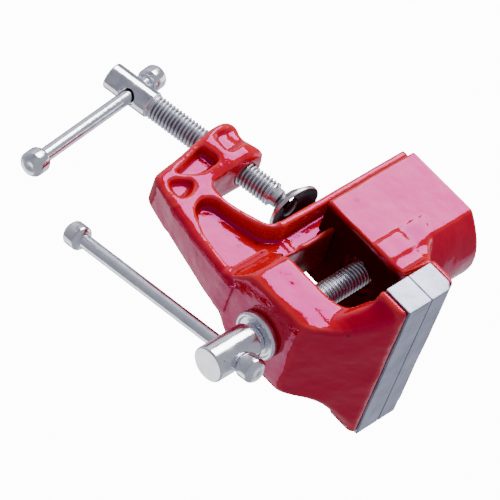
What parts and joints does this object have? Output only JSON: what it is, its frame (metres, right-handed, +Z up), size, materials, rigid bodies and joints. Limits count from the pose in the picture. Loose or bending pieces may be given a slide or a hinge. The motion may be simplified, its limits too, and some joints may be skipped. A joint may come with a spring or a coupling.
{
  "type": "bench vise",
  "caption": "Small clamp-on bench vise: red cast frame and sliding jaw, flat steel jaw plates, screws with sliding bar handles, and a swivel pad below the bench.",
  "frame": {"origin": "where the axis of the clamp screw meets the flat face that rests on top of the bench", "axes": "+Z up from the bench face, +X from the main handle towards the back of the vise along the rail, +Y to the vise's left side"},
  "size_m": [0.1049, 0.06, 0.1293],
  "materials": {
    "enamel": "thick glossy red enamel on cast iron",
    "ground_steel": "bare surface-ground steel with fine parallel lines",
    "bright_steel": "bright zinc or chrome plated steel",
    "black_steel": "blackened pressed steel"
  },
  "bodies": {
    "frame": {"fixed_body": "enamel", "fixed_jaw_plate": "ground_steel", "fixed_plate_screws": "bright_steel", "main_washer": "bright_steel", "thrust_washer": "bright_steel"},
    "slider": {"sliding_jaw": "enamel", "sliding_jaw_plate": "ground_steel", "sliding_plate_screws": "bright_steel"},
    "main_spindle": {"main_screw": "bright_steel", "retaining_collar": "bright_steel", "collar_pin": "ground_steel"},
    "main_handle": {"main_bar": "bright_steel", "main_bar_upper_knob": "bright_steel", "main_bar_lower_knob": "bright_steel"},
    "pad_carrier": {"pad_rivet": "bright_steel"},
    "clamp_spindle": {"clamp_screw": "bright_steel"},
    "clamp_handle": {"clamp_bar": "bright_steel", "clamp_bar_long_knob": "bright_steel", "clamp_bar_short_knob": "bright_steel"},
    "swivel_pad": {"clamp_pad": "black_steel"}
  },
  "joints": [
    {"name": "jaw_slide", "type": "slide", "parent": "frame", "child": "slider", "axis": [1, 0, 0], "range_m": [0, 0.022]},
    {"name": "main_screw_spin", "type": "hinge", "parent": "frame", "child": "main_spindle", "pos_m": [0, 0, 0.024], "axis": [1, 0, 0], "range_deg": [-6335, 0]},
    {"name": "main_bar_slide", "type": "slide", "parent": "main_spindle", "child": "main_handle", "axis": [0, 0.2385, 0.9711], "range_m": [0, 0.0567]},
    {"name": "clamp_feed", "type": "slide", "parent": "frame", "child": "pad_carrier", "axis": [0.1908, 0, 0.9816], "range_m": [-0.0125, 0.0027]},
    {"name": "clamp_screw_spin", "type": "hinge", "parent": "pad_carrier", "child": "clamp_spindle", "pos_m": [0, 0, 0], "axis": [0.1908, 0, 0.9816], "range_deg": [-3600, 777]},
    {"name": "clamp_bar_slide", "type": "slide", "parent": "clamp_spindle", "child": "clamp_handle", "axis": [-0.9679, 0.1668, 0.1881], "range_m": [-0.0437, 0.0021]},
    {"name": "pad_tilt", "type": "hinge", "parent": "pad_carrier", "child": "swivel_pad", "pos_m": [-0.00132, 0, -0.00677], "axis": [0, 1, 0], "range_deg": [-2, 12]}
  ],
  "couplings": [
    {"joint": "jaw_slide", "follows": "main_screw_spin", "m_per_rad": -0.00019894},
    {"joint": "clamp_feed", "follows": "clamp_screw_spin", "m_per_rad": 0.00019894}
  ]
}
